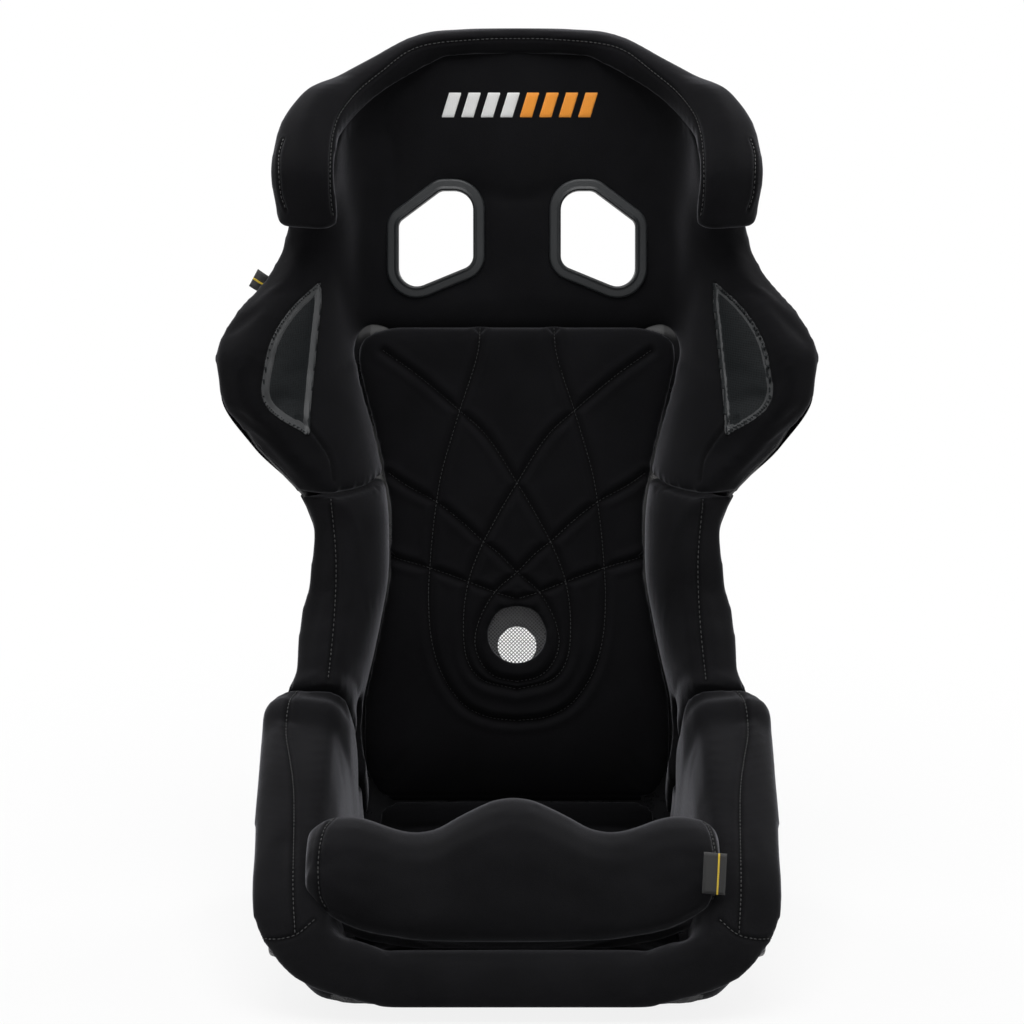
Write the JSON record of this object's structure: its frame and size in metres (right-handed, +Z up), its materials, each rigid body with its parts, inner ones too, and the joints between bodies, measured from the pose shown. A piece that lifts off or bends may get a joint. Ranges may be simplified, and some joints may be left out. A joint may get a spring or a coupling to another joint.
{
  "type": "racing seat",
  "caption": "Fixed-back racing bucket seat with head restraint ears, shoulder wings, quilted back cushion, thigh pad and harness slots in a composite shell.",
  "frame": {"origin": "centre of the seat's outline on the plane that its shell stands on", "axes": "+X across the seat to the sitter's left, +Y towards the back, +Z up"},
  "size_m": [0.597, 0.585, 0.8695],
  "materials": {
    "shell_composite": "black gel-coated glass-fibre composite",
    "trim_plastic": "fine-grained charcoal moulding",
    "trim_rubber": "black rubber edge trim",
    "insert_steel": "zinc-plated steel",
    "insert_mesh": "dark open mesh over foam",
    "vent_mesh": "black woven net",
    "hook_and_loop": "black hook-and-loop tape",
    "tag_cloth": "plain black woven tape with a thin yellow edge",
    "velour": "near-black fine velour knit over foam"
  },
  "bodies": {
    "root": {"back_cushion": "velour", "closure_strips": "hook_and_loop", "crotch_slot_trim": "trim_rubber", "harness_back_ring_left": "trim_plastic", "harness_back_ring_right": "trim_plastic", "harness_bezel_left": "trim_plastic", "harness_bezel_right": "trim_plastic", "head_and_back_lining": "velour", "head_band": "velour", "hip_pad_left": "velour", "hip_pad_right": "velour", "lap_slot_trim_left": "trim_rubber", "lap_slot_trim_right": "trim_rubber", "nose_pad": "velour", "rib_pad_left": "velour", "rib_pad_right": "velour", "seat_cushion": "velour", "shell": "shell_composite", "shoulder_insert_left": "insert_mesh", "shoulder_insert_right": "insert_mesh", "shoulder_pad_left": "velour", "shoulder_pad_right": "velour", "shoulder_tag": "tag_cloth", "side_mount_inserts_left": "insert_steel", "side_mount_inserts_right": "insert_steel", "thigh_pad": "velour", "thigh_tag": "tag_cloth", "vent_net": "vent_mesh"}
  },
  "joints": []
}
